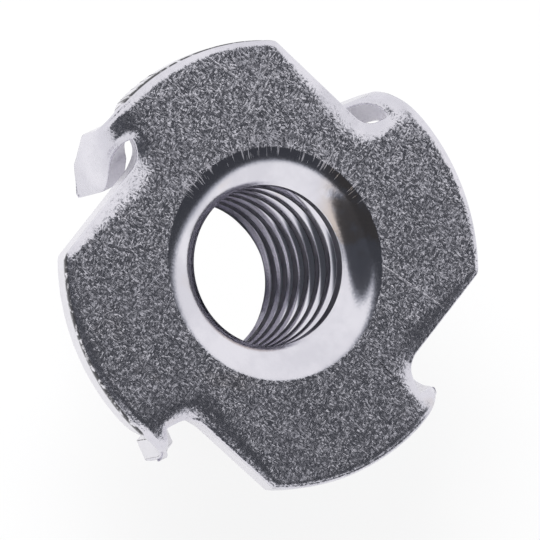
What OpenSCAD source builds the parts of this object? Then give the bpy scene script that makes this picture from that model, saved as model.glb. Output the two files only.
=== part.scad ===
// Drive-in t-nut pressed from one piece of sheet steel. The nut stands on the end of its
// barrel, with the axis of the thread along Z and the flange on top.

/* [Flange] */
// Diameter over the round edge of the flange
flange_d = 25; // [24:0.5:28]
// Thickness of the sheet
sheet = 1.4; // [1.2:0.1:1.6]
// Rounding of the upper rim, left by the blanking tool
rim_round = 0.25; // [0.1:0.05:0.4]

/* [Barrel] */
// Height from the barrel's end to the flange's face
height = 12; // [10:0.5:16]
// Outside diameter of the barrel
barrel_d = 12; // [11.6:0.1:13]
// Inside diameter over the crests of the thread
bore_d = 9; // [8.6:0.1:9.4]
// Rounding between the barrel and the underside of the flange
neck_round = 1; // [0.4:0.1:1.2]
// Chamfer on both edges of the barrel's end
end_chamfer = 0.2; // [0.1:0.05:0.3]

/* [Mouth] */
// Diameter at which the trumpet mouth leaves the flange's face
mouth_d = 13.6; // [12.8:0.1:14.4]
// Radius of the trumpet's curve
mouth_round = 2.6; // [2.3:0.1:3]
// Diameter at which the trumpet ends and the thread's first turn starts
throat_d = 9.4; // [9.4:0.1:9.8]
// Height of the lead into the thread under the trumpet
lead_in = 0.2; // [0.1:0.05:0.4]

/* [Prongs] */
// Number of prongs, and of notches between the lobes
prong_count = 4; // [3:1:4]
// Angle between each straight cut and the tangent at its corner
cut_angle = 39; // [36:1:42]
// Length of the straight cut from the corner to the round root
cut_length = 6.7; // [6:0.1:7]
// Radius of the round root of the notch
root_round = 1.2; // [0.8:0.1:1.4]
// Angle between the fold line and the tangent at the corner
fold_turn = 26; // [22:1:30]
// Flat length between the notch's root and the start of the bend
fold_flat = 0.1; // [0.05:0.05:0.3]
// Angle that the prong is bent down by
bend_angle = 90; // [78:1:94]
// Radius inside the bend
bend_round = 0.3; // [0.2:0.1:0.8]
// Length of the blade's inner edge past the bend
blade_l = 4.6; // [3.6:0.1:5.6]
// Angle by which the blade's inner edge leans in under the lobe
blade_lean = 20; // [14:1:26]
// Width of the blade's cut end
tip_w = 1.8; // [1.2:0.1:2]
// Slope of the cut end, which leaves a point on the inner edge
tip_slope = 26; // [10:1:36]

/* [Hidden] */
$fn = 96;
flange_r = flange_d / 2;
barrel_r = barrel_d / 2;
bore_r = bore_d / 2;
throat_r = throat_d / 2;
mouth_r = mouth_d / 2;
underside = height - sheet;
// How far the trumpet's curve goes down before it meets the throat
mouth_sink = mouth_round - sqrt(pow(mouth_round, 2) - pow(mouth_r - throat_r, 2));
past = 1;

// Plan of one notch, in a frame whose Y axis passes through the lobe's corner
corner = [0, flange_r];
cut_dir = [cos(cut_angle), -sin(cut_angle)];
fold_dir = [cos(fold_turn), sin(fold_turn)];
blade_dir = [-sin(fold_turn), cos(fold_turn)];
cut_end = corner + cut_length * cut_dir;
// The root's circle crosses the cut and the fold line by this much
root_bite = 0.02;
root_centre = cut_end + (root_round - root_bite) * [sin(cut_angle), cos(cut_angle)];
fold_start = root_centre - (root_round - root_bite) * blade_dir;
// The bend starts a short flat past the fold line
bend_start = fold_start + fold_flat * blade_dir;
// The prong's width on the fold line is what lies between the notch's root and the rim
fold_w = sqrt(pow(flange_r, 2) - pow(fold_start * blade_dir, 2)) - fold_start * fold_dir;

// Section of the revolved flange and barrel
module wall_section() {
    difference() {
        union() {
            translate([bore_r, 0]) square([barrel_r - bore_r, height]);
            translate([bore_r, underside]) square([flange_r - bore_r, sheet]);
            translate([barrel_r, underside - neck_round]) square(neck_round);
        }
        translate([barrel_r + neck_round, underside - neck_round]) circle(neck_round);
        trumpet_cutter();
        rim_cutter();
        end_cutter(barrel_r, -1);
        end_cutter(bore_r, 1);
    }
}

// Curved mouth, and the short cone that leads into the thread
module trumpet_cutter() {
    difference() {
        translate([0, height - mouth_sink]) square([mouth_r, mouth_sink + past]);
        translate([mouth_r, height - mouth_round]) circle(mouth_round);
    }
    polygon([
        [0, height - mouth_sink - lead_in],
        [bore_r, height - mouth_sink - lead_in],
        [throat_r, height - mouth_sink],
        [0, height - mouth_sink]
    ]);
}

// Quarter-round taken off the flange's upper rim
module rim_cutter() {
    difference() {
        translate([flange_r - rim_round, height - rim_round]) square(rim_round + past);
        translate([flange_r - rim_round, height - rim_round]) circle(rim_round);
    }
}

// Section of all that the blanking tool leaves inside the rim
module rim_section() {
    difference() {
        square([flange_r, height]);
        rim_cutter();
    }
}

// Chamfer at the barrel's end; side is 1 for the bore's edge and -1 for the outer edge
module end_cutter(r, side) {
    polygon([[r + side * end_chamfer, 0], [r, end_chamfer], [r - side * past, end_chamfer],
        [r - side * past, -past], [r + side * end_chamfer, -past]]);
}

// Plan of the opening between a straight cut and the fold line of the next prong
module notch_plan() {
    translate(root_centre) circle(root_round);
    polygon([cut_end, fold_start, fold_start + flange_r * fold_dir,
        corner + flange_r * [1, 1], corner + flange_r * [0, 1], corner - past * cut_dir]);
}

// Prong past the fold line of one notch: its root in the flange, the bend, then the flat
// blade, all trimmed by the rim
module prong() {
    intersection() {
        translate([bend_start[0], bend_start[1], underside - bend_round]) rotate([0, 0, fold_turn]) {
            translate([0, -past, bend_round]) cube([fold_w + past, past, sheet]);
            rotate([0, -90, 0]) rotate_extrude(angle = bend_angle)
                translate([bend_round, -fold_w - past]) square([sheet, fold_w + past]);
            rotate([-bend_angle, 0, 0]) translate([0, 0, bend_round]) linear_extrude(sheet) blade_plan();
        }
        rotate_extrude() rim_section();
    }
}

// Outline of the blade: it leans inwards, narrows from the rim's side, and has an oblique end
module blade_plan() {
    lean_x = -blade_l * tan(blade_lean);
    outer_l = blade_l - tip_w * tan(tip_slope);
    polygon([[0, 0], [fold_w, 0], [lean_x + tip_w, outer_l], [lean_x, blade_l]]);
}

module tee_nut() {
    color("silver") {
        difference() {
            rotate_extrude() wall_section();
            for (i = [0 : prong_count - 1])
                rotate(i * 360 / prong_count)
                    translate([0, 0, underside - past]) linear_extrude(sheet + 2 * past) notch_plan();
        }
        for (i = [0 : prong_count - 1]) rotate(i * 360 / prong_count) prong();
    }
}

tee_nut();
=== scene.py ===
"""Drive-in t-nut: the stamped, zinc-plated nut as one closed surface, and a plain pale studio."""

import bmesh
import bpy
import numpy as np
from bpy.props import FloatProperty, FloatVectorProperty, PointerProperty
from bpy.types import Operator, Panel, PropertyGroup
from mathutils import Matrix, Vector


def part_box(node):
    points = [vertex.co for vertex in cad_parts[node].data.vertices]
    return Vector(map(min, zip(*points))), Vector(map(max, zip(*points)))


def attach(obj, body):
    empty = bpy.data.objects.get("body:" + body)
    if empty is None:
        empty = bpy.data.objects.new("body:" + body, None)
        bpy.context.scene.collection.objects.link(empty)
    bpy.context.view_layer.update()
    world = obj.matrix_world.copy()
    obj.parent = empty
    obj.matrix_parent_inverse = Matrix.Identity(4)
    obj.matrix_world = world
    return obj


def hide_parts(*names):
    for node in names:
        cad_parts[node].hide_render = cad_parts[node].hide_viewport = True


bl_info = {
    "name": "Drive-in T-Nut",
    "version": (1, 0, 0),
    "blender": (4, 5, 0),
    "location": "3D View > Sidebar > T-Nut",
    "description": "Builds a pronged t-nut with a flared, threaded barrel, and a plain studio",
    "category": "Add Mesh",
}

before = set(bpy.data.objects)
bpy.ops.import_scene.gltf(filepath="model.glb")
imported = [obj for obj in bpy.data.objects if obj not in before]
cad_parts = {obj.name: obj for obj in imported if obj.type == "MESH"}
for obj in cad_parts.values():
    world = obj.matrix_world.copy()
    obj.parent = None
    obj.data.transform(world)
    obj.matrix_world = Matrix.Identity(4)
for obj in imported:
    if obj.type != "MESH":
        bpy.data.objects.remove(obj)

NODE = "tee_nut"
LOW, HIGH = (np.array(corner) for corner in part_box(NODE))
MM = 0.001
QUARTERS = 4
# Points that draw the rim, each long edge of a prong and the root of a notch
RIM_POINTS, EDGE_POINTS, ROOT_POINTS = 80, 60, 30
# Points of the mesh along the rim, outer edge, tip, inner edge, root and cut of a quarter
COUNTS = (42, 44, 14, 44, 22, 34)
# Shares of the way from the circle round the mouth or the neck out to the edge. The second one
# lies close to the circle, so that the finish changes along a crisp line
OUTWARD = np.insert(np.linspace(0, 1, 24), 1, 0.008)
# Weight of even spacing in the angles at which the columns leave that circle
EVEN_SHARE = 0.25
# Past this many times the radius at which the neck meets the flange, the sheet folds in full
FOLD_FREE = 1.2
# Inset of the small round between the sheared wall and the inner skin
FOOT_ROUND = 0.06 * MM
# Length over which the thread runs out under the mouth, in pitches
RUN_OUT = 1.3
# Points closer than this become one, and edges that turn further than this stay sharp
MERGE = 0.0004 * MM
SHARP_TURN = np.radians(38)
# How far the round parts have the finish of a turned surface
TURNED = {"mouth": 0.9, "thread": 1.0, "end": 0.5, "side": 0.3}
# Turn about the axis and cells to the metre of the short specks and of the long scratches
SPECKS = ((0.35, 7400), (1.25, 8200), (2.4, 7800), (1.9, 6900))
SCRATCHES = ((0.55, 2600), (2.1, 3100))
# Turns about the axis of the two directions of facets, and their cells to the metre
FACET_TURNS = (0.6, 2.0)
FACETS_PER_METRE = 15000
# Tone of the sheared walls, lightened as painted light so that they don't fall into shade, and the near-black
# tone of the torn lines and of the painted shade along the burr
SHEARED_PAINTED_LIGHT_TONE = (0.92, 0.91, 0.94, 1)
TORN_AND_BURR_SHADE_TONE = (0.05, 0.05, 0.055, 1)
# Depth of the streaks on the sheared walls
STREAK_DEPTH = 0.06 * MM
# Half the side of the square floor, in metres
FLOOR_HALF = 0.6


def size(name, description, default, **options):
    """A length that a user may change, in metres."""
    return FloatProperty(name=name, description=description, default=default, precision=5,
                         subtype="DISTANCE", unit="LENGTH", **options)


def turn(name, description, degrees):
    """An angle that a user may change, given here in degrees."""
    return FloatProperty(name=name, description=description, default=np.radians(degrees),
                         subtype="ANGLE", unit="ROTATION")


def share(name, description, default):
    """A plain number that a user may change."""
    return FloatProperty(name=name, description=description, default=default)


def colour(name, description, default):
    """A colour that a user may change."""
    return FloatVectorProperty(name=name, description=description, default=default, size=3,
                               min=0, max=1, subtype="COLOR")


class NutSizes(PropertyGroup):
    """Sizes of the stamped nut."""
    flange_d: size("Flange", "Diameter over the round rim", HIGH[0] - LOW[0])
    height: size("Height", "From the barrel's end to the flange's face", HIGH[2] - LOW[2])
    sheet: size("Sheet", "Thickness of the steel", 1.4 * MM)
    barrel_d: size("Barrel", "Outside diameter of the barrel", 12 * MM)
    neck_round: size("Neck rounding", "Radius between barrel and flange", 1 * MM)
    end_chamfer: size("End chamfer", "Chamfer at the barrel's end", 0.2 * MM)
    mouth_d: size("Mouth", "Diameter at which the trumpet leaves the face", 13 * MM)
    mouth_round: size("Trumpet radius", "Radius of the trumpet's curve", 3.1 * MM)
    mouth_tilt: turn("Mouth tilt", "Slope with which the trumpet leaves the face", 6)
    throat_d: size("Throat", "Diameter at which the trumpet ends", 9.4 * MM)
    lead_in: size("Lead-in", "Height of the cone under the trumpet", 0.2 * MM)
    pitch: size("Pitch", "Rise of the thread in one turn", 1.5 * MM)
    crest_d: size("Crest", "Diameter over the thread's crests", 9 * MM)
    groove_d: size("Groove", "Diameter at the bottom of the thread", 10.2 * MM)
    flank: turn("Flank", "Angle between the thread's two flanks", 60)


class ProngSizes(PropertyGroup):
    """Sizes of the notches and of the prongs that are bent out of them."""
    cut_angle: turn("Cut angle", "Between the straight cut and the rim's tangent", 39)
    cut_lengths: FloatVectorProperty(
        name="Cut lengths", description="From each lobe's corner to the round root of its notch", size=4,
        default=(6.7 * MM, 6.6 * MM, 5.6 * MM, 6.25 * MM), precision=5, unit="LENGTH")
    root_round: size("Root radius", "Radius between the cut and the notch's root", 1.2 * MM)
    root_rise: size("Root rise", "How far the notch's root lies past the fold line", 0.25 * MM)
    inner_gaps: FloatVectorProperty(
        name="Inner gaps", description="How far each root runs into its prong's inner edge", size=4,
        default=(0.6 * MM, 0.3 * MM, 0.9 * MM, 0.9 * MM), precision=5, unit="LENGTH")
    fold_turn: turn("Fold turn", "Between the fold line and the corner's tangent", 26)
    onsets: FloatVectorProperty(
        name="Onsets", description="Length before each fold line over which the sheet starts to bend", size=4,
        default=(1.3 * MM, 1.3 * MM, 1.6 * MM, 1.3 * MM), precision=5, unit="LENGTH")
    early_bows: FloatVectorProperty(
        name="Early bows", description="Share of each bend's full curvature that the onset reaches", size=4,
        default=(0.33, 0.33, 0.7, 0.33))
    bend_lengths: FloatVectorProperty(
        name="Bend lengths", description="Length of each bend along the outer skin", size=4,
        default=(2.95 * MM, 2.95 * MM, 3.4 * MM, 2.95 * MM), precision=5, unit="LENGTH")
    depth: size("Prong depth", "From the face to the prong's point", 7.5 * MM)
    swing: size("Swing", "How far the blade's inner edge swings out under the lobe", 1.95 * MM)
    swing_starts: FloatVectorProperty(
        name="Swing starts", description="Where each inner edge starts to swing, past the fold", size=4,
        default=(0.6 * MM, 0.6 * MM, 2.6 * MM, 2.6 * MM), precision=5, unit="LENGTH")
    swing_ends: FloatVectorProperty(
        name="Swing ends", description="Where each inner edge runs straight down again", size=4,
        default=(5.2 * MM, 5.2 * MM, 8.3 * MM, 8.3 * MM), precision=5, unit="LENGTH")
    tip_w: size("Tip", "Width of the blade's cut end", 2 * MM)
    tip_slope: turn("Tip slope", "Slope of the blade's cut end", 36)
    corner_soft: size("Corner softness", "Length over which the outline's corners are rounded", 0.5 * MM)


class FinishSettings(PropertyGroup):
    """Colours and surface of the zinc plating."""
    zinc: colour("Zinc", "Colour of the bright plating", (0.76, 0.745, 0.805))
    dull: colour("Dull zinc", "Colour of the plating where it is rubbed", (0.61, 0.60, 0.665))
    tint: colour("Tint", "Colour of the brownish passivated patches", (0.60, 0.50, 0.42))
    roughness: share("Roughness", "Roughness of the plating", 0.23)
    mark_depth: size("Marks", "Depth of the tumbling marks", 0.0028 * MM)
    facet_lean: share("Facet lean", "Spread of the small facets' tilts, as a slope", 0.17)
    scratch_depth: size("Scratches", "Depth of the scratches", 0.004 * MM)


class StudioSettings(PropertyGroup):
    """Camera, light and floor."""
    face_tilt: turn("Face tilt", "Between the view and the flange's axis", 24.3)
    tilt_side: turn("Tilt side", "Side to which the face looks, from the picture's right", 12)
    roll: turn("Roll", "Turn of the nut about its own axis", -2.3)
    distance: size("Distance", "From the camera to the face", 400 * MM)
    picture_w: size("Picture width", "Width of the picture in the plane of the face", 29.92 * MM)
    aim_right: size("Aim right", "Shift of the camera to its right", -0.321 * MM)
    aim_up: size("Aim up", "Shift of the camera upwards", -0.343 * MM)
    tent: share("Tent", "Brightness of the white tent", 1.0)
    opening: share("Tent opening", "Brightness of the dark opening that the face mirrors", 0.06)
    glow: share("Floor glow", "Brightness of the floor to the camera", 1.0)
    lens_turn: turn("Lens side", "Side of the camera's dark opening, seen from the mirrored direction", 200)
    lens_away: turn("Lens distance", "From the mirrored direction to the camera's dark opening", 58)
    opening_tint: colour("Opening tint", "Colour of what lies beyond the tent's openings", (0.80, 0.86, 1.0))
    floor: colour("Floor", "Colour of the floor", (0.95, 0.95, 0.955))


def smooth(low, high, values):
    """Ramp from 0 at low to 1 at high, level at both ends: 3 t squared less 2 t cubed."""
    t = np.clip((values - low) / (high - low), 0, 1)
    return t * t * (3 - 2 * t)


def quarter_turn(points, k):
    """Turns plan points by k quarter turns about the nut's axis."""
    c, s = np.round(np.cos(k * np.pi / 2)), np.round(np.sin(k * np.pi / 2))
    x, y = points[..., 0], points[..., 1]
    return np.stack([c * x - s * y, s * x + c * y], -1)


class Notch:
    """Plan of one notch and its prong, unrolled, with the lobe's corner on the Y axis.

    a runs along the fold line from the prong's inner edge outwards, and s runs across it
    into the prong. Both are lengths on the outer skin of the sheet.
    """

    def __init__(self, nut, prong, k):
        self.radius = nut.flange_d / 2
        cut = prong.cut_angle
        self.cut_dir = np.array([np.cos(cut), -np.sin(cut)])
        self.along = np.array([np.cos(prong.fold_turn), np.sin(prong.fold_turn)])
        self.across = np.array([-np.sin(prong.fold_turn), np.cos(prong.fold_turn)])
        self.cut_point = np.array([0, self.radius]) + prong.cut_lengths[k] * self.cut_dir
        self.centre = self.cut_point + prong.root_round * np.array([np.sin(cut), np.cos(cut)])
        self.start = self.centre - prong.root_round * self.across
        self.cut_turn = np.pi - cut
        self.inner_gap = prong.inner_gaps[k]
        self.swing_range = prong.swing_starts[k], prong.swing_ends[k]
        self.bend = Bend(prong, k)

    def plan(self, a, s):
        """Plan point of the unrolled sheet at a and s."""
        return self.start + np.multiply.outer(a, self.along) + np.multiply.outer(s, self.across)

    def rim_reach(self, b):
        """Where the rim's circle crosses the line at b past the fold line."""
        out = self.start @ self.across + b
        return np.sqrt(self.radius ** 2 - out ** 2) - self.start @ self.along

    def blend(self, points):
        """1 where the sheet follows the fold, 0 on the lobe past the cut.

        It fades with the direction seen from the root's centre, from the fold line's side of
        the root to the cut's side.
        """
        to = points - self.centre
        seen = np.arctan2(to[..., 1], to[..., 0])
        turned = (seen - self.cut_turn) % (2 * np.pi)
        fold_side = (np.arctan2(-self.across[1], -self.across[0]) - self.cut_turn) % (2 * np.pi)
        return smooth(np.pi / 2, fold_side, turned)


class Bend:
    """Section of one bent prong: the outer skin's angle, reach and drop along its length s.

    The curvature rises slowly over the onset to the early bow, then to its full value, stays
    level through the bend and falls to nothing. Its running sum is the angle, and the sums of
    the angle's cosine and sine are the reach and the drop.
    """
    STEPS = 4000
    # Where the early bow is reached, as a share of the onset before the fold line
    EARLY = 0.15
    # Where the curvature is full, and where it starts to fall, as shares of the bend's length
    FULL, EASE = 0.1, 0.88

    def __init__(self, prong, k):
        onset, self.length = prong.onsets[k], prong.bend_lengths[k]
        stations = [-onset, -self.EARLY * onset]
        stations += [share_of * self.length for share_of in (self.FULL, self.EASE, 1)]
        self.s = np.linspace(-2 * onset, self.length + 2 * prong.depth, self.STEPS)
        bow = np.interp(self.s, stations, [0, prong.early_bows[k], 1, 1, 0])
        step = self.s[1] - self.s[0]
        self.angle = np.cumsum(bow)
        self.angle *= np.pi / 2 / self.angle[-1]
        self.reach = self.s[0] + np.cumsum(np.cos(self.angle)) * step
        self.drop = np.cumsum(np.sin(self.angle)) * step
        self.blade = prong.depth - np.interp(self.length, self.s, self.drop)

    def at(self, s):
        """Angle, reach and drop at s."""
        return (np.interp(s, self.s, part) for part in (self.angle, self.reach, self.drop))


def fold(points, depth, k, nut, notch, on_prong=False):
    """Folds unrolled plan points at a depth under the outer skin into their place on the nut.

    Along the sheet a point goes to the bend's reach and drop, and its depth is taken off along
    the turned normal, both scaled by the notch's blend. Points on the prong fold in full, and
    round the mouth nothing folds.
    """
    neck = nut.barrel_d / 2 + nut.neck_round
    away = np.hypot(points[..., 0], points[..., 1])
    share_of = notch.blend(points) * smooth(neck, FOLD_FREE * neck, away)
    share_of = np.where(on_prong, 1.0, share_of)
    s = (points - notch.start) @ notch.across
    angle, reach, drop = notch.bend.at(s)
    angle = angle * share_of
    move = share_of * (reach - s) * (s > notch.bend.s[0]) - depth * np.sin(angle)
    plan = quarter_turn(points + move[..., None] * notch.across, k)
    z = nut.height - share_of * drop - depth * np.cos(angle)
    return np.concatenate([plan, z[..., None]], -1)


def arc(centre, radius, start, end, count):
    """Points on a circle from one angle to another."""
    t = np.linspace(start, end, count)
    return centre + radius * np.stack([np.cos(t), np.sin(t)], -1)


def edge_runs(prong, notch, rim_start):
    """One quarter's unrolled outline, counter-clockwise, as runs of points.

    The runs are the rim, the prong's outer edge, its oblique tip, its inner edge, the notch's
    root and the straight cut up to the lobe's corner. Each run ends where the next one starts.
    """
    bend = notch.bend
    inner_end = bend.length + bend.blade
    outer_end = inner_end - prong.tip_w * np.tan(prong.tip_slope)
    s_in = np.linspace(inner_end, prong.root_rise, EDGE_POINTS)
    swing = smooth(*notch.swing_range, s_in)
    a_in = notch.inner_gap - (prong.swing + notch.inner_gap) * swing
    tip_in = a_in[0]
    s_out = np.linspace(0, outer_end, EDGE_POINTS)
    slant = np.interp(s_out, [bend.length, outer_end], [notch.rim_reach(0), tip_in + prong.tip_w])
    outer = notch.plan(np.minimum(notch.rim_reach(np.interp(s_out, bend.s, bend.reach)), slant), s_out)
    inner = notch.plan(a_in, s_in)
    rim_end = np.arctan2(outer[0, 1], outer[0, 0])
    rim = arc(0, notch.radius, rim_start, rim_end, RIM_POINTS)
    rise = (notch.cut_point - notch.start) @ notch.across - prong.root_rise
    run = rise / -(notch.cut_dir @ notch.across)
    meet = notch.cut_point + run * notch.cut_dir
    bow = prong.cut_angle + prong.fold_turn
    back = prong.root_round * np.tan(bow / 2)
    centre = meet + back * notch.along + prong.root_round * notch.across
    first = prong.fold_turn - np.pi / 2
    root = np.concatenate([inner[-1:], arc(centre, prong.root_round, first, first - bow, ROOT_POINTS)])
    along_cut = notch.cut_point @ notch.cut_dir
    to_rim = along_cut + np.sqrt(along_cut ** 2 - notch.cut_point @ notch.cut_point + notch.radius ** 2)
    cut = np.stack([root[-1], notch.cut_point - to_rim * notch.cut_dir])
    return [rim, outer, np.stack([outer[-1], inner[0]]), inner, root, cut]


class Outline:
    """The whole unrolled outline with softened corners, as functions of its length.

    The runs of all quarters are joined and put at even steps. Their places, and the edge's
    sizes, are averaged over a short stretch to each side, which rounds every corner.
    """
    STEP = 0.02 * MM
    # Width and depth of the die roll, and the edge's radius, at the start and end of each run
    EDGES = np.array([
        [[0.36, 0.04, 0.16], [0.60, 0.08, 0.24]],
        [[0.42, 0.12, 0.18], [0.30, 0.08, 0.14]],
        [[0.20, 0.02, 0.10], [0.20, 0.02, 0.10]],
        [[0.30, 0.08, 0.12], [0.50, 0.14, 0.14]],
        [[0.90, 0.18, 0.14], [1.40, 0.22, 0.14]],
        [[1.50, 0.22, 0.14], [0.35, 0.07, 0.12]]]) * MM
    EDGE_BLEND = 1.4 * MM

    def __init__(self, nut, prong):
        self.notches = [Notch(nut, prong, k) for k in range(QUARTERS)]
        corners = [edge_runs(prong, notch, 0)[-1][-1] for notch in self.notches]
        places, edges, self.keys = [], [], []
        length = 0
        for k, notch in enumerate(self.notches):
            before = corners[k - 1]
            runs = edge_runs(prong, notch, np.arctan2(before[1], before[0]) - np.pi / 2)
            for run, edge in zip(runs, self.EDGES):
                steps = np.concatenate([[0], np.cumsum(np.hypot(*np.diff(run, axis=0).T))])
                even = np.linspace(0, steps[-1], int(np.ceil(steps[-1] / self.STEP)) + 1)[:-1]
                plan = np.stack([np.interp(even, steps, run[:, i]) for i in (0, 1)], -1)
                places.append(quarter_turn(plan, k))
                edges.append(np.linspace(*edge, len(even)))
                self.keys.append(length)
                length += len(even)
        self.keys.append(length)
        self.places = self.average(np.concatenate(places), prong.corner_soft)
        self.edges = self.average(np.concatenate(edges), self.EDGE_BLEND)

    def average(self, values, stretch):
        """Running mean round the closed outline, taken twice."""
        half = max(1, int(stretch / self.STEP / 4))
        window = np.ones(2 * half + 1) / (2 * half + 1)
        for _ in range(2):
            closed = np.concatenate([values[-half:], values, values[:half]])
            values = np.stack([np.convolve(column, window, "valid") for column in closed.T], -1)
        return values

    def at(self, index):
        """Place, inward normal and edge sizes at fractional steps along the outline."""
        count = len(self.places)
        steps = np.arange(count + 1)

        def read(values):
            """Values between the steps, round the closed outline."""
            closed = np.concatenate([values, values[:1]])
            return np.stack([np.interp(index % count, steps, column) for column in closed.T], -1)

        along = read(np.roll(self.places, -2, 0)) - read(np.roll(self.places, 2, 0))
        along /= np.hypot(along[:, 0], along[:, 1])[:, None]
        return read(self.places), np.stack([-along[:, 1], along[:, 0]], -1), read(self.edges)


class Surface:
    """Gathers grids of points into one mesh, with a share of each finish at every point."""

    def __init__(self):
        self.points, self.faces, self.marks = [], [], []
        self.count = 0

    def add(self, grid, sheared=0.0, turned=0.0):
        """Adds a grid of points, rows by columns, as four-sided faces."""
        rows, columns = grid.shape[:2]
        index = self.count + np.arange(rows * columns).reshape(rows, columns)
        quads = np.stack([index[:-1, :-1], index[1:, :-1], index[1:, 1:], index[:-1, 1:]], -1)
        self.points.append(grid.reshape(-1, 3))
        self.faces.append(quads.reshape(-1, 4))
        marks = np.stack(np.broadcast_arrays(sheared, turned, grid[..., 0])[:2], -1)
        self.marks.append(marks.reshape(-1, 2))
        self.count += rows * columns

    def mesh(self, name):
        """One closed mesh: doubles merged, faces outwards, sharp edges marked."""
        mesh = bpy.data.meshes.new(name)
        mesh.from_pydata(np.concatenate(self.points), [], np.concatenate(self.faces).tolist())
        marks = np.concatenate(self.marks)
        for column, mark in enumerate(("sheared", "turned")):
            layer = mesh.attributes.new(mark, "FLOAT", "POINT")
            layer.data.foreach_set("value", marks[:, column].astype(np.float32))
        work = bmesh.new()
        work.from_mesh(mesh)
        bmesh.ops.remove_doubles(work, verts=work.verts, dist=MERGE)
        bmesh.ops.recalc_face_normals(work, faces=work.faces)
        if work.calc_volume(signed=True) < 0:
            bmesh.ops.reverse_faces(work, faces=work.faces)
        loose = [edge for edge in work.edges if len(edge.link_faces) != 2]
        if loose:
            places = [tuple(round(x / MM, 2) for x in edge.verts[0].co) for edge in loose[:8]]
            raise RuntimeError(f"{name} isn't closed at {len(loose)} edges, such as {places}")
        work.to_mesh(mesh)
        work.free()
        mesh.polygons.foreach_set("use_smooth", np.ones(len(mesh.polygons), bool))
        mesh.set_sharp_from_angle(angle=SHARP_TURN)
        return mesh


def edge_profile(edge, sheet):
    """Inset and depth of the sheet's edge, from the outer skin over the wall to the inner skin.

    The die roll drops with the square of the way out, a quarter circle turns into the sheared
    wall, and a small round turns onto the inner skin. One row for each point of the outline.
    Two rows of marks go with them: one is 1 on the sheared wall, and the other brings the wall's
    upper end to a half, which is where the dark line of painted shade at the burr lies.
    """
    wide, deep, bow = (edge[:, i, None] for i in range(3))
    t = np.linspace(0, 1, 9)
    roll = wide + (bow - wide) * t
    roll_depth = deep * t ** 2
    q = np.linspace(0, np.pi / 2, 6)[1:]
    turn_in = bow * (1 - np.sin(q))
    turn_depth = deep + bow * (1 - np.cos(q))
    down = np.array([0.02, 0.25, 0.5, 0.75, 1])
    wall_depth = deep + bow + (sheet - FOOT_ROUND - deep - bow) * down
    zero = np.zeros_like(wide)
    inset = np.concatenate([roll, turn_in, wall_depth * 0, zero + FOOT_ROUND, zero + 3 * FOOT_ROUND], 1)
    depth = np.concatenate([roll_depth, turn_depth, wall_depth, zero + sheet, zero + sheet], 1)
    wall_start = len(t) + len(q)
    sheared = np.zeros(inset.shape[1])
    sheared[wall_start:-2] = 1
    line = np.zeros(inset.shape[1])
    line[len(t) + 2:wall_start] = 0.5
    line[wall_start] = -0.5
    return inset, depth, sheared, line


def revolve(angles, radii, heights):
    """Surface of revolution: a profile of radii and heights carried round the given angles."""
    around = np.stack([np.cos(angles), np.sin(angles)], -1)
    plan = around[:, None] * np.reshape(radii, (1, -1, 1))
    z = np.broadcast_to(np.reshape(heights, (1, -1, 1)), plan.shape[:2] + (1,))
    return np.concatenate([plan, z], -1)


def trumpet(nut):
    """Section of the mouth, from the lead-in's foot over its cone and the trumpet to the face.

    The trumpet is a circle that crosses the face at the mouth with the mouth's tilt. Its last
    two points lie close together, so that the finish changes along a crisp line.
    """
    centre_r = nut.mouth_d / 2 + nut.mouth_round * np.sin(nut.mouth_tilt)
    centre_z = nut.height - nut.mouth_round * np.cos(nut.mouth_tilt)
    throat = np.arccos((centre_r - nut.throat_d / 2) / nut.mouth_round)
    sweep = np.linspace(throat, np.pi / 2 - nut.mouth_tilt, 26)
    sweep = np.insert(sweep, -1, sweep[-1] - 0.01)
    curve_r = centre_r - nut.mouth_round * np.cos(sweep)
    curve_z = centre_z + nut.mouth_round * np.sin(sweep)
    cone = np.linspace(0, 1, 4)[:-1]
    cone_r = nut.crest_d / 2 + cone * (curve_r[0] - nut.crest_d / 2)
    cone_z = curve_z[0] - nut.lead_in * (1 - cone)
    return np.append(cone_r, curve_r), np.append(cone_z, curve_z)


def thread_profile(nut):
    """Radii of the thread over one pitch: crest flat, flank, groove flat and flank again.

    A flank of half the thread's angle goes as far along the axis as its depth times the
    tangent of that angle. The groove's flat is an eighth of the pitch and the crest has the
    rest. Small steps at the crest's edges soften them.
    """
    deep = (nut.groove_d - nut.crest_d) / 2
    flank = deep * np.tan(nut.flank / 2)
    groove = nut.pitch / 8
    crest = nut.pitch - groove - 2 * flank
    soft = 0.05 * MM
    along = np.array([0, crest / 2 - soft, crest / 2 + soft / 2, crest / 2 + flank / 2, crest / 2 + flank,
                      crest / 2 + flank + groove / 2])
    height = np.array([0, 0, soft, deep / 2, deep, deep])
    along = np.concatenate([along, nut.pitch - along[::-1][1:]])
    height = np.concatenate([height, height[::-1][1:]])
    return along, nut.crest_d / 2 + height


def thread_grid(nut, angles, top):
    """Wall of the threaded bore: a right-hand thread whose grid climbs with the helix.

    Each column of the grid keeps its place in the thread's profile and rises by one pitch in
    a turn. Its height is cut off at both ends. The thread runs out under the lead-in, and the
    radius is the larger of the thread and the chamfer at the barrel's end.
    """
    along, radii = thread_profile(nut)
    turns = np.arange(-1, np.ceil(top / nut.pitch))
    columns = (turns[:, None] * nut.pitch + along[None, :-1]).ravel()
    columns = np.append(columns, (turns[-1] + 1) * nut.pitch)
    climb = nut.pitch * angles[:, None] / (2 * np.pi)
    z = np.clip(columns[None] + climb, 0, top)
    crest = nut.crest_d / 2
    thread = np.interp((z - climb) % nut.pitch, along, radii)
    thread = crest + (thread - crest) * smooth(top, top - RUN_OUT * nut.pitch, z)
    radius = np.maximum(thread, crest + nut.end_chamfer - z)
    return np.stack([radius * np.cos(angles[:, None]), radius * np.sin(angles[:, None]), z], -1)


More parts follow.
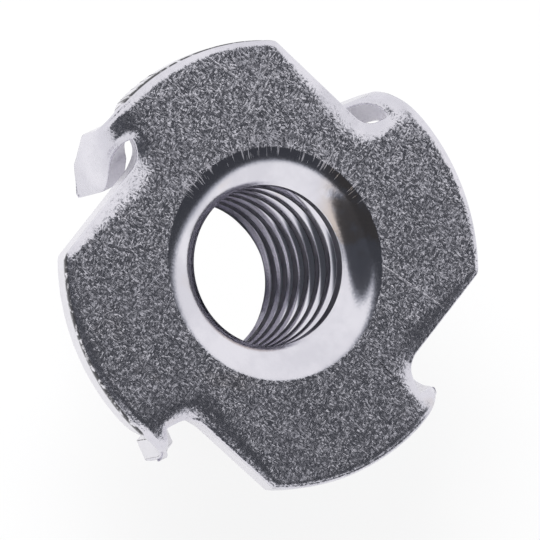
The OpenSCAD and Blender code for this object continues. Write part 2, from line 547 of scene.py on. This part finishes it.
def add_quarter(surface, nut, outline, k):
    """Adds one lobe with its prong: the sheet's edge, then both skins of the blade and the lobe.

    A blade's skin runs in rows from its outer edge to its inner edge. A lobe's skin runs in
    columns from a circle round the mouth or the neck out to the edge, and the angles at which
    the columns leave the circle are given back.
    """
    notch = outline.notches[k]
    keys = outline.keys[len(COUNTS) * k:len(COUNTS) * (k + 1) + 1]
    runs = [np.linspace(a, b, n + 1)[:-1] for a, b, n in zip(keys, keys[1:], COUNTS)]
    index = np.append(np.concatenate(runs), keys[-1])
    place, normal, edge = outline.at(index)
    place, normal = quarter_turn(place, -k), quarter_turn(normal, -k)
    inset, depth, sheared, line = edge_profile(edge, nut.sheet)
    band = place[:, None] + inset[..., None] * normal[:, None]
    outer, tip_out, tip_in, base = np.cumsum(COUNTS)[:4]
    steps = np.arange(len(index))[:, None]
    on_prong = (steps > outer) & (steps < base)
    marks = sheared + line * (steps < COUNTS[0])
    surface.add(fold(band, depth, k, nut, notch, on_prong), sheared=marks)
    across = np.linspace(0, 1, COUNTS[2] + 1)[:, None]

    def border(edge_points):
        """The edge with the prong's foot in place of its blade."""
        foot = edge_points[outer] + across * (edge_points[base] - edge_points[outer])
        return np.concatenate([edge_points[:outer], foot, edge_points[base + 1:]])

    around = border(place)
    seen = np.arctan2(around[:, 1], around[:, 0])
    angles = (1 - EVEN_SHARE) * seen + EVEN_SHARE * np.linspace(seen[0], seen[-1], len(seen))
    if np.any(np.diff(angles) <= 0):
        raise RuntimeError("The outline turns back on itself, seen from the axis")
    for column, level, circle in ((0, 0.0, nut.mouth_d / 2),
                                  (-1, nut.sheet, nut.barrel_d / 2 + nut.neck_round)):
        skin = band[:, column]
        outer_edge, inner_edge = skin[outer:tip_out], skin[base:tip_in:-1]
        rows = outer_edge[:, None] + across[None] * (inner_edge - outer_edge)[:, None]
        blade = np.concatenate([rows, skin[None, tip_out:tip_in + 1]])
        past_foot = np.arange(len(blade))[:, None] > 0
        surface.add(fold(blade, np.full(blade.shape[:2], level), k, nut, notch, past_foot))
        start = circle * np.stack([np.cos(angles), np.sin(angles)], -1)
        flat = start[:, None] + OUTWARD[None, :, None] * (border(skin) - start)[:, None]
        surface.add(fold(flat, np.full(flat.shape[:2], level), k, nut, notch))
    return angles[:-1] + k * np.pi / 2


def add_round_parts(surface, nut, angles):
    """Adds all that is round about the axis: mouth, thread, the barrel's end, its side and neck."""
    mouth_r, mouth_z = trumpet(nut)
    surface.add(revolve(angles, mouth_r, mouth_z), turned=TURNED["mouth"])
    wall = thread_grid(nut, angles, mouth_z[0])
    surface.add(wall, turned=TURNED["thread"])
    rise = nut.end_chamfer
    barrel_r = nut.barrel_d / 2
    neck_z = nut.height - nut.sheet - nut.neck_round
    neck = arc(np.array([barrel_r + nut.neck_round, neck_z]), nut.neck_round, np.pi, np.pi / 2, 9)
    end_rim = revolve(angles, [barrel_r - rise], [0.0])
    end = wall[:, :1] + np.linspace(0, 1, 4)[None, :, None] * (end_rim - wall[:, :1])
    surface.add(end, turned=TURNED["end"])
    side_r = np.concatenate([[barrel_r - rise], np.full(8, barrel_r), neck[1:, 0]])
    side_z = np.concatenate([[0], np.linspace(rise, neck_z, 8), neck[1:, 1]])
    surface.add(revolve(angles, side_r, side_z), turned=TURNED["side"])


def nut_mesh(nut, prong):
    """The whole nut as one closed surface."""
    outline = Outline(nut, prong)
    surface = Surface()
    angles = np.concatenate([add_quarter(surface, nut, outline, k) for k in range(QUARTERS)])
    add_round_parts(surface, nut, np.append(angles, angles[0] + 2 * np.pi))
    return surface.mesh("t_nut")


class Nodes:
    """Short way to place and link the nodes of one node tree."""

    def __init__(self, tree):
        self.tree = tree
        tree.nodes.clear()

    def put(self, node, key, value):
        """Links an input to an output, or sets it to a plain value."""
        if isinstance(value, bpy.types.NodeSocket):
            self.tree.links.new(value, node.inputs[key])
        else:
            node.inputs[key].default_value = value

    def add(self, kind, inputs=(), **settings):
        """Adds a node, sets its properties, and links or sets its inputs by name or number."""
        node = self.tree.nodes.new(kind)
        for name, value in settings.items():
            setattr(node, name, value)
        for key, value in dict(inputs).items():
            self.put(node, key, value)
        return node

    def math(self, operation, a, b=0.0, c=0.0):
        """Output of a Math node."""
        return self.add("ShaderNodeMath", {0: a, 1: b, 2: c}, operation=operation).outputs[0]

    def product(self, first, *others):
        """Product of two or more values."""
        for value in others:
            first = self.math("MULTIPLY", first, value)
        return first

    def vector(self, operation, a, b=(0, 0, 0)):
        """Output of a Vector Math node that gives a vector."""
        return self.add("ShaderNodeVectorMath", {0: a, 1: b}, operation=operation).outputs[0]

    def ramp(self, value, low, high, out_low=0.0, out_high=1.0):
        """Smooth ramp between two levels of a value."""
        return self.add("ShaderNodeMapRange", {"Value": value, "From Min": low, "From Max": high,
                        "To Min": out_low, "To Max": out_high}, interpolation_type="SMOOTHSTEP").outputs[0]

    def noise(self, place, scale, detail=3.0, rough=0.5, distortion=0.0):
        """Noise with a number of cells to each unit of its place."""
        return self.add("ShaderNodeTexNoise", {"Vector": place, "Scale": scale, "Detail": detail,
                        "Roughness": rough, "Distortion": distortion}).outputs["Fac"]

    def stretch(self, place, turn, scale):
        """Place turned about the axis and stretched."""
        turned = self.add("ShaderNodeMapping", {"Vector": place, "Rotation": (0, 0, turn)}).outputs[0]
        return self.vector("MULTIPLY", turned, scale)

    def pair(self, x, y):
        """Vector of two values."""
        return self.add("ShaderNodeCombineXYZ", {"X": x, "Y": y}).outputs[0]

    def mix(self, factor, a, b):
        """Mix of two colours."""
        node = self.add("ShaderNodeMix", data_type="RGBA")
        for key, value in zip((0, 6, 7), (factor, a, b)):
            self.put(node, key, value)
        return node.outputs[2]


def tumbling(n, place):
    """Grain, short specks and long scratches that tumbling leaves on the plating."""
    grain = n.noise(place, 7600, 4, 0.7)
    specks = 0.0
    for angle, fine in SPECKS:
        lines = n.noise(n.stretch(place, angle, (0.4, 1, 1)), fine, 1, 0.5)
        specks = n.math("MAXIMUM", n.ramp(lines, 0.55, 0.80), specks)
    scratches = 0.0
    for angle, fine in SCRATCHES:
        lines = n.noise(n.stretch(place, angle, (0.03, 1, 1)), fine, 1, 0.5, 0.2)
        scratches = n.math("ADD", n.ramp(lines, 0.72, 0.78), scratches)
    return grain, specks, scratches


def faceted(n, place, normal, lean):
    """Normal tipped by small facets, each with a tilt of its own, that lie in two directions."""
    facets = []
    for angle in FACET_TURNS:
        cells = n.add("ShaderNodeTexVoronoi", {"Vector": n.stretch(place, angle, (0.45, 1, 1)),
                      "Scale": FACETS_PER_METRE})
        facets.append(cells.outputs["Color"])
    facet = n.mix(n.ramp(n.noise(place, 1500, 1, 0.5), 0.48, 0.52), *facets)
    tilt = n.vector("SUBTRACT", facet, (0.5, 0.5, 0.5))
    tilt = n.add("ShaderNodeVectorMath", {0: tilt, "Scale": lean}, operation="SCALE").outputs[0]
    return n.vector("NORMALIZE", n.vector("ADD", normal, tilt))


def torn_lines(n, x, y, z, away, heading, sheared):
    """Dark, slanting lines on the sheared rim at the upper left, where the sheet was torn.

    The noise has 48 cells to the radian round the rim. They move along with the height, which
    makes them slant, and they are drawn out down the wall.
    """
    slant = n.math("MULTIPLY_ADD", z, 800.0, n.product(heading, 48.0))
    lines = n.ramp(n.noise(n.pair(slant, n.product(z, 300.0)), 1.0, 2, 0.5, 0.3), 0.54, 0.64)
    upper_left = n.product(n.ramp(x, -5 * MM, -7 * MM), n.ramp(y, 4 * MM, 5 * MM))
    on_rim = n.ramp(away, 12.1 * MM, 12.3 * MM)
    return n.product(lines, sheared, upper_left, on_rim)


def burr_painted_shade(n, place, x, sheared):
    """Ragged dark line of painted shade along the rim's edge on its left side, where the sheared mark passes
    through a half.
    """
    line = n.product(sheared, n.math("SUBTRACT", 1.0, sheared), 4.0)
    ragged = n.ramp(n.noise(place, 2600, 3, 0.7), 0.36, 0.50)
    return n.product(line, ragged, n.ramp(x, 1 * MM, -3 * MM), 0.95)


def mouth_scratches(n, y, away, heading):
    """Fine scratches that run outwards over the mouth's upper edge, onto the face.

    The noise has 75 cells to the radian and 700 to the metre outwards.
    """
    lines = n.noise(n.pair(n.product(heading, 75.0), n.product(away, 700.0)), 1.0, 1, 0.5)
    at_mouth = n.product(n.ramp(away, 5.9 * MM, 6.2 * MM), n.ramp(away, 7.8 * MM, 6.9 * MM))
    return n.product(n.ramp(lines, 0.60, 0.68), at_mouth, n.ramp(y, 2.5 * MM, 4.5 * MM))


def brown_tint(n, place, x, y, turned):
    """Share of the brown tint: pale stains all over, and a stronger patch on the flare."""
    stains = n.ramp(n.noise(place, 180, 3, 0.6, 0.8), 0.60, 0.74)
    on_flare = n.product(n.ramp(turned, 0.80, 0.88), n.ramp(turned, 0.98, 0.92))
    upper_right = n.product(n.ramp(x, 2.5 * MM, 4 * MM), n.ramp(y, 0.3 * MM, 1.8 * MM))
    patch = n.ramp(n.noise(place, 520, 3, 0.6), 0.40, 0.58)
    return n.math("MAXIMUM", n.product(stains, 0.22), n.product(on_flare, upper_right, patch, 0.7))


def zinc_material(finish):
    """Bright zinc plating over tumbled faces, sheared edges and turned bore.

    The mesh's marks tell them apart: sheared on the press-cut walls, and turned in the mouth, in
    the thread and on the barrel. Tumbling marks, facets and scratches fade where it is turned.
    """
    material = bpy.data.materials.new("zinc_plating")
    material.use_nodes = True
    n = Nodes(material.node_tree)
    place = n.add("ShaderNodeTexCoord").outputs["Object"]
    sheared = n.add("ShaderNodeAttribute", attribute_name="sheared").outputs["Fac"]
    turned = n.add("ShaderNodeAttribute", attribute_name="turned").outputs["Fac"]
    flat = n.math("SUBTRACT", 1.0, turned)
    x, y, z = n.add("ShaderNodeSeparateXYZ", {0: place}).outputs
    away = n.math("SQRT", n.math("MULTIPLY_ADD", x, x, n.product(y, y)))
    heading = n.math("ARCTAN2", y, x)
    grain, specks, scratches = tumbling(n, place)

    # Streaks run through the thickness of the sheared walls
    streaks = n.noise(n.stretch(place, 0.0, (1, 1, 0.12)), 1700, 3, 0.6)
    marks = n.product(n.math("MULTIPLY_ADD", specks, 1.3, grain), flat)
    height = n.product(marks, finish.mark_depth / MM)
    height = n.math("MULTIPLY_ADD", n.product(scratches, flat), finish.scratch_depth / MM, height)
    height = n.math("MULTIPLY_ADD", n.product(streaks, sheared), STREAK_DEPTH / MM, height)
    bump = n.add("ShaderNodeBump", {"Strength": 1.0, "Distance": MM, "Height": height}).outputs[0]
    normal = faceted(n, place, bump, n.product(flat, finish.facet_lean))

    # The plating's tone, then the tint, the sheared walls lightened as painted light, what the press tore,
    # and the dark painted shade along the burr
    patches = n.ramp(n.noise(place, 260, 4, 0.6), 0.40, 0.62)
    tone = n.mix(n.product(patches, 0.6), (*finish.zinc, 1), (*finish.dull, 1))
    tone = n.mix(brown_tint(n, place, x, y, turned), tone, (*finish.tint, 1))
    # Painted light: the sheared walls are lightened so that they look lit, not shaded
    tone = n.mix(n.product(sheared, 0.8), tone, SHEARED_PAINTED_LIGHT_TONE)
    torn = torn_lines(n, x, y, z, away, heading, sheared)
    # Near-black torn lines, with a line of painted shade along the burr on the rim's left side
    tone = n.mix(n.math("MAXIMUM", burr_painted_shade(n, place, x, sheared), torn), tone, TORN_AND_BURR_SHADE_TONE)

    rays = mouth_scratches(n, y, away, heading)
    rough = n.math("MULTIPLY_ADD", grain, 0.08, finish.roughness - 0.07)
    for mark, change in ((patches, 0.03), (n.product(n.math("MAXIMUM", specks, scratches), flat), 0.10),
                         (sheared, 0.34), (turned, -0.09), (rays, 0.40)):
        rough = n.math("MULTIPLY_ADD", mark, change, rough)
    shader = n.add("ShaderNodeBsdfPrincipled", {"Base Color": tone, "Metallic": 1.0, "Roughness": rough,
                   "Normal": normal})
    n.add("ShaderNodeOutputMaterial", {"Surface": shader.outputs[0]})
    return material


def view_axes(studio):
    """Turns the nut's axes to the camera's: rows are X, Y and Z seen from the camera.

    The flange's axis leans from the line of sight by the face tilt, towards the tilt side,
    and the roll turns the nut about it.
    """
    t, d, roll = studio.face_tilt, studio.tilt_side, studio.roll
    axis = np.array([np.sin(t) * np.cos(d), np.sin(t) * np.sin(d), np.cos(t)])
    first = np.cross([0, 1, 0], axis)
    first /= np.linalg.norm(first)
    second = np.cross(axis, first)
    return np.stack([np.cos(roll) * first + np.sin(roll) * second,
                     np.cos(roll) * second - np.sin(roll) * first, axis])


def set_camera(studio, height):
    """Camera at the photograph's viewing angle; its lens frames the picture's width."""
    axes = view_axes(studio)
    right, up, back = axes.T
    data = bpy.data.cameras.new("camera")
    data.sensor_width = 36
    data.lens = data.sensor_width * studio.distance / studio.picture_w
    data.clip_start = studio.distance / 10
    data.clip_end = studio.distance * 10
    camera = bpy.data.objects.new("camera", data)
    place = np.array([0, 0, height]) + studio.distance * back + studio.aim_right * right + studio.aim_up * up
    camera.matrix_world = Matrix.Translation(place) @ Matrix(axes.tolist()).to_4x4()
    bpy.context.scene.collection.objects.link(camera)
    bpy.context.scene.camera = camera


def set_tent(studio):
    """World: a white tent with two soft, dark openings for the nut to mirror.

    One is an oval about the direction that the face mirrors, set off downwards. The other is a
    cone to one side, where the camera looks in, and the flare mirrors it. Both have the opening's
    tint. Camera rays see plain white.
    """
    right, _, back = view_axes(studio).T
    mirror = np.array([-back[0], -back[1], back[2]])
    side = right - (right @ mirror) * mirror
    side /= np.linalg.norm(side)
    upward = np.cross(mirror, side)
    world = bpy.data.worlds.new("tent")
    bpy.context.scene.world = world
    world.use_nodes = True
    n = Nodes(world.node_tree)
    seen = n.add("ShaderNodeTexCoord").outputs["Generated"]

    def along(axis):
        """How far the direction that is seen goes along an axis."""
        node = n.add("ShaderNodeVectorMath", {0: seen, 1: tuple(axis)}, operation="DOT_PRODUCT")
        return node.outputs["Value"]

    # The oval's half width and half height, how far its middle lies down, and where its soft
    # edge starts and is dark
    half_w, half_h, sunk = 0.72, 0.37, 0.21
    pale_at, dark_at = 1.15, 0.80
    across = n.product(along(side), 1 / half_w)
    low = n.math("MULTIPLY_ADD", along(upward), 1 / half_h, sunk / half_h)
    oval = n.math("SQRT", n.math("ADD", n.product(across, across), n.product(low, low)))
    dark = n.product(n.ramp(oval, pale_at, dark_at), n.ramp(along(mirror), 0.0, 0.2))

    # The cone's soft edge, as angles from its axis, and how dark its middle is
    cone_pale, cone_dark, cone_level = np.radians(36), np.radians(27), 0.98
    toward = np.cos(studio.lens_turn) * side + np.sin(studio.lens_turn) * upward
    lens_axis = np.cos(studio.lens_away) * mirror + np.sin(studio.lens_away) * toward
    lens = n.ramp(along(lens_axis), np.cos(cone_pale), np.cos(cone_dark), 0.0, cone_level)

    shut = n.math("SUBTRACT", 1.0, n.math("MAXIMUM", dark, lens))
    level = n.math("MULTIPLY_ADD", shut, studio.tent - studio.opening, studio.opening)
    plain = n.add("ShaderNodeLightPath").outputs["Is Camera Ray"]
    strength = n.math("MAXIMUM", level, plain)
    light = n.mix(strength, (*studio.opening_tint, 1), (1, 1, 1, 1))
    glow = n.add("ShaderNodeBackground", {"Color": light, "Strength": strength}).outputs[0]
    n.add("ShaderNodeOutputWorld", {"Surface": glow})


def set_lamp(studio):
    """One soft lamp from the picture's top, which gives the floor its pale shadow."""
    right, up, back = view_axes(studio).T
    distance, disk_d, watts = 0.3, 0.2, 0.9
    data = bpy.data.lights.new("soft_lamp", "AREA")
    data.shape = "DISK"
    data.size = disk_d
    data.energy = watts
    lamp = bpy.data.objects.new("soft_lamp", data)
    lamp.visible_glossy = False
    place = distance * (0.75 * up + 0.65 * back - 0.12 * right)
    lamp.matrix_world = Matrix.Translation(place) @ lamp_turn(place)
    bpy.context.scene.collection.objects.link(lamp)


def lamp_turn(place):
    """Turn that points a lamp's -Z from its place to the origin."""
    back = place / np.linalg.norm(place)
    side = np.cross([0, 1, 0], back)
    side /= np.linalg.norm(side)
    return Matrix(np.stack([side, np.cross(back, side), back], 1).tolist()).to_4x4()


def floor_material(studio, bore):
    """Pale floor that keeps a soft shadow, and is plain white to the camera inside the bore, where it glows
    in full as painted light over the nut's shade.

    Round the nut it glows in part to camera, glossy and transmission rays, and the rest is matt.
    """
    glow_share, soft_edge = 0.84, 1.1
    material = bpy.data.materials.new("pale_floor")
    material.use_nodes = True
    n = Nodes(material.node_tree)
    place = n.add("ShaderNodeTexCoord").outputs["Object"]
    away = n.add("ShaderNodeVectorMath", {0: place}, operation="LENGTH").outputs["Value"]
    path = n.add("ShaderNodeLightPath").outputs
    camera = path["Is Camera Ray"]
    seen = n.math("MAXIMUM", camera, n.math("MAXIMUM", path["Is Glossy Ray"], path["Is Transmission Ray"]))
    outside = n.ramp(away, bore, soft_edge * bore)
    # Inside the bore the floor glows in full to the camera: painted light that hides the nut's shade there
    inside = n.math("SUBTRACT", 1.0, outside)
    white = n.math("MAXIMUM", n.product(seen, glow_share, outside), n.product(camera, inside))
    matt = n.add("ShaderNodeBsdfDiffuse", {"Color": (*studio.floor, 1)}).outputs[0]
    glow = n.add("ShaderNodeEmission", {"Color": (1, 1, 1, 1), "Strength": studio.glow}).outputs[0]
    mixed = n.add("ShaderNodeMixShader", {0: white, 1: matt, 2: glow}).outputs[0]
    n.add("ShaderNodeOutputMaterial", {"Surface": mixed})
    return material


class TNUT_OT_nut(Operator):
    """Build the stamped nut with its prongs, flared mouth and threaded barrel."""
    bl_idname = "tnut.nut"
    bl_label = "T-Nut"

    def execute(self, context):
        scene = context.scene
        mesh = nut_mesh(scene.tnut_sizes, scene.tnut_prongs)
        piece = bpy.data.objects.new("t_nut", mesh)
        scene.collection.objects.link(piece)
        mesh.materials.append(zinc_material(scene.tnut_finish))
        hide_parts(NODE)
        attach(piece, "root")
        return {"FINISHED"}


class TNUT_OT_studio(Operator):
    """Set up the pale floor, the soft light and the camera."""
    bl_idname = "tnut.studio"
    bl_label = "Studio"

    def execute(self, context):
        scene = context.scene
        studio = scene.tnut_studio
        mesh = bpy.data.meshes.new("floor")
        corners = FLOOR_HALF * np.array([[-1, -1, 0], [1, -1, 0], [1, 1, 0], [-1, 1, 0]])
        mesh.from_pydata(corners, [], [(0, 1, 2, 3)])
        mesh.materials.append(floor_material(studio, scene.tnut_sizes.groove_d / 2))
        ground = bpy.data.objects.new("floor", mesh)
        scene.collection.objects.link(ground)
        set_tent(studio)
        set_lamp(studio)
        set_camera(studio, scene.tnut_sizes.height)
        scene.view_settings.view_transform = "Standard"
        return {"FINISHED"}


class TNUT_PT_panel(Panel):
    """Lists the steps that build the nut and its studio."""
    bl_label = "T-Nut"
    bl_idname = "TNUT_PT_panel"
    bl_space_type = "VIEW_3D"
    bl_region_type = "UI"
    bl_category = "T-Nut"

    def draw(self, context):
        for step in STEPS:
            self.layout.operator(step.bl_idname)


GROUPS = {"tnut_sizes": NutSizes, "tnut_prongs": ProngSizes, "tnut_finish": FinishSettings,
          "tnut_studio": StudioSettings}
STEPS = (TNUT_OT_nut, TNUT_OT_studio)


def register():
    """Registers the settings, the steps and the panel."""
    for cls in (*GROUPS.values(), *STEPS, TNUT_PT_panel):
        bpy.utils.register_class(cls)
    for name, group in GROUPS.items():
        setattr(bpy.types.Scene, name, PointerProperty(type=group))


def unregister():
    """Takes the settings, the steps and the panel away again."""
    for name in GROUPS:
        delattr(bpy.types.Scene, name)
    for cls in (TNUT_PT_panel, *STEPS, *GROUPS.values()):
        bpy.utils.unregister_class(cls)


def plain(box):
    """A box as lists of numbers."""
    return [[float(x) for x in corner] for corner in box]


def main():
    """Builds everything in order."""
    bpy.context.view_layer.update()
    register()
    bpy.ops.tnut.nut()
    bpy.ops.tnut.studio()


if __name__ == "__main__":
    main()
